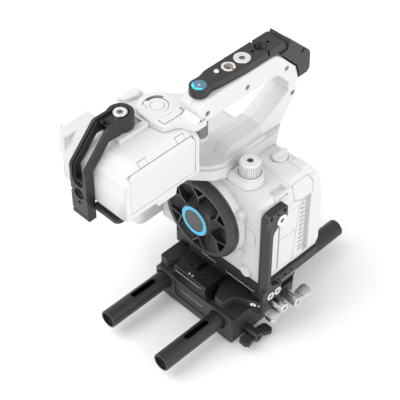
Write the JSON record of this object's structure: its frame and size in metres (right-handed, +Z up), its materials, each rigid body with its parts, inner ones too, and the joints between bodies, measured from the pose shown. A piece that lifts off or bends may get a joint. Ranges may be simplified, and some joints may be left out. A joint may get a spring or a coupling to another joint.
{
  "type": "camera cage",
  "caption": "Camera cage kit: rod clamp base with rods, sliding dovetail plate, side arm, handle plate and guard bracket, fitted to a plain dummy camera with a top handle.",
  "frame": {"origin": "on the ground in the middle of the part's box", "axes": "+Z up, -Y towards the front of the lens, +X to the side of the wing screws"},
  "size_m": [0.1592, 0.2216, 0.2332],
  "materials": {
    "black_anodised": "black anodised, satin",
    "white_plastic": "matte",
    "steel": "bright turned steel",
    "bronze": "dull bronze washers",
    "cyan": "glossy"
  },
  "bodies": {
    "base": {"rod_clamp_block": "black_anodised", "rod_clamp_pad": "black_anodised", "rod_clamp_washer": "bronze", "receiver_body": "black_anodised", "receiver_bolts": "steel"},
    "clamp_screw": {"rod_clamp_screw": "black_anodised"},
    "left_rod": {"rod_left": "black_anodised"},
    "right_rod": {"rod_right": "black_anodised"},
    "jaw": {"receiver_jaw": "black_anodised", "jaw_washers": "bronze"},
    "lever_front": {"jaw_screw_front": "steel"},
    "lever_rear": {"jaw_screw_rear": "steel"},
    "carriage": {"dovetail_plate": "black_anodised", "deck_pins": "steel", "camera_plate": "black_anodised", "camera_screw": "steel", "side_arm": "black_anodised", "side_arm_screws": "steel", "side_arm_top_screw": "steel", "lens_mount_ring": "white_plastic", "body_front_shell": "white_plastic", "body_rear_shell": "white_plastic", "grip": "white_plastic", "upper_cover": "white_plastic", "vent_grille": "white_plastic", "strap_lug": "steel", "knob_pedestal": "white_plastic", "handle_foot": "white_plastic", "handle_half_right": "white_plastic", "handle_half_left": "white_plastic", "handle_screws": "steel", "control_head": "white_plastic", "audio_box": "white_plastic", "audio_sockets": "black_anodised", "accessory_shoe": "white_plastic", "guard_bracket": "black_anodised", "guard_bolt": "steel", "top_plate": "black_anodised", "top_plate_screw": "steel", "thread_insert": "steel", "locating_pin": "steel", "level_bezel": "cyan", "level_vial": "cyan"},
    "cap": {"lens_cap": "black_anodised", "cap_badge": "cyan"},
    "release": {"lens_release_button": "white_plastic"},
    "grip_wheel": {"grip_dial": "black_anodised"},
    "door_front": {"port_door_front": "white_plastic"},
    "door_upper": {"port_door_upper": "white_plastic"},
    "door_lower": {"port_door_lower": "white_plastic"},
    "screen": {"rear_screen": "white_plastic"},
    "knob": {"handle_lock_knob": "white_plastic"},
    "mode_wheel": {"mode_dial": "white_plastic"},
    "head_wheel": {"head_dial": "black_anodised"},
    "rec": {"rec_button": "white_plastic"},
    "rec_lock": {"rec_lock_ring": "white_plastic"},
    "rocker": {"zoom_rocker": "white_plastic"},
    "box_door": {"audio_door": "white_plastic"},
    "latch_a": {"door_latch_front": "white_plastic"},
    "latch_b": {"door_latch_rear": "white_plastic"}
  },
  "joints": [
    {"name": "clamp_screw_turn", "type": "hinge", "parent": "base", "child": "clamp_screw", "pos_m": [0.0524, -0.01515, 0.0078], "axis": [1, 0, 0], "range_deg": [-180, 180]},
    {"name": "rod_left_slide", "type": "slide", "parent": "base", "child": "left_rod", "axis": [0, 1, 0], "range_m": [-0.05, 0.05]},
    {"name": "rod_right_slide", "type": "slide", "parent": "base", "child": "right_rod", "axis": [0, 1, 0], "range_m": [-0.05, 0.05]},
    {"name": "jaw_open", "type": "slide", "parent": "base", "child": "jaw", "axis": [1, 0, 0], "range_m": [0, 0.002]},
    {"name": "jaw_lever_front_turn", "type": "hinge", "parent": "jaw", "child": "lever_front", "pos_m": [0.0634, 0.00485, 0.0323], "axis": [1, 0, 0], "range_deg": [0, 70]},
    {"name": "jaw_lever_rear_turn", "type": "hinge", "parent": "jaw", "child": "lever_rear", "pos_m": [0.0634, 0.01785, 0.0308], "axis": [1, 0, 0], "range_deg": [-75, 60]},
    {"name": "dovetail_slide", "type": "slide", "parent": "base", "child": "carriage", "axis": [0, 1, 0], "range_m": [-0.012, 0.02]},
    {"name": "lens_cap_turn", "type": "hinge", "parent": "carriage", "child": "cap", "pos_m": [0.0074, -0.02265, 0.1028], "axis": [0, 1, 0], "range_deg": [0, 60]},
    {"name": "lens_release_press", "type": "slide", "parent": "carriage", "child": "release", "axis": [0, 1, 0], "range_m": [0, 0.0015], "stiffness_N_per_m": 300, "springref_m": -0.0005},
    {"name": "grip_dial_turn", "type": "hinge", "parent": "carriage", "child": "grip_wheel", "pos_m": [-0.0516, -0.03215, 0.1178], "axis": [0, 0, 1], "continuous": true},
    {"name": "port_door_front_swing", "type": "hinge", "parent": "carriage", "child": "door_front", "pos_m": [0.0607, -0.00325, 0.0878], "axis": [0, 0, -1], "range_deg": [0, 85]},
    {"name": "port_door_upper_swing", "type": "hinge", "parent": "carriage", "child": "door_upper", "pos_m": [0.0607, 0.02922, 0.093], "axis": [0, 0.0797, 0.9968], "range_deg": [0, 100]},
    {"name": "port_door_lower_swing", "type": "hinge", "parent": "carriage", "child": "door_lower", "pos_m": [0.0607, 0.02677, 0.0624], "axis": [0, 0.0797, 0.9968], "range_deg": [0, 100]},
    {"name": "rear_screen_swing", "type": "hinge", "parent": "carriage", "child": "screen", "pos_m": [0.0471, 0.05735, 0.0908], "axis": [0, 0, -1], "range_deg": [0, 150]},
    {"name": "lock_knob_turn", "type": "hinge", "parent": "carriage", "child": "knob", "pos_m": [0.0357, 0.00225, 0.1578], "axis": [0, 0, 1], "continuous": true},
    {"name": "mode_dial_turn", "type": "hinge", "parent": "carriage", "child": "mode_wheel", "pos_m": [0.0348, 0.03545, 0.1468], "axis": [0, 0, 1], "continuous": true},
    {"name": "head_dial_turn", "type": "hinge", "parent": "carriage", "child": "head_wheel", "pos_m": [0.0114, -0.02465, 0.1978], "axis": [0, 0, 1], "continuous": true},
    {"name": "rec_press", "type": "slide", "parent": "carriage", "child": "rec", "axis": [0, 0, -1], "range_m": [0, 0.0008], "stiffness_N_per_m": 400, "springref_m": -0.0005},
    {"name": "rec_lock_turn", "type": "hinge", "parent": "carriage", "child": "rec_lock", "pos_m": [-0.0159, -0.03895, 0.2078], "axis": [0, 0, 1], "range_deg": [-80, 0]},
    {"name": "zoom_rocker_tilt", "type": "hinge", "parent": "carriage", "child": "rocker", "pos_m": [-0.0002, -0.04025, 0.2088], "axis": [1, 0, 0], "range_deg": [-2, 2], "stiffness_Nm_per_rad": 0.05},
    {"name": "audio_door_swing", "type": "hinge", "parent": "carriage", "child": "box_door", "pos_m": [0.0184, -0.06615, 0.1671], "axis": [0, 1, 0], "range_deg": [0, 95]},
    {"name": "door_latch_front_flip", "type": "hinge", "parent": "carriage", "child": "latch_a", "pos_m": [0.0118, -0.08015, 0.2027], "axis": [0, -1, 0], "range_deg": [0, 40]},
    {"name": "door_latch_rear_flip", "type": "hinge", "parent": "carriage", "child": "latch_b", "pos_m": [0.0118, -0.04515, 0.2027], "axis": [0, -1, 0], "range_deg": [0, 40]}
  ]
}
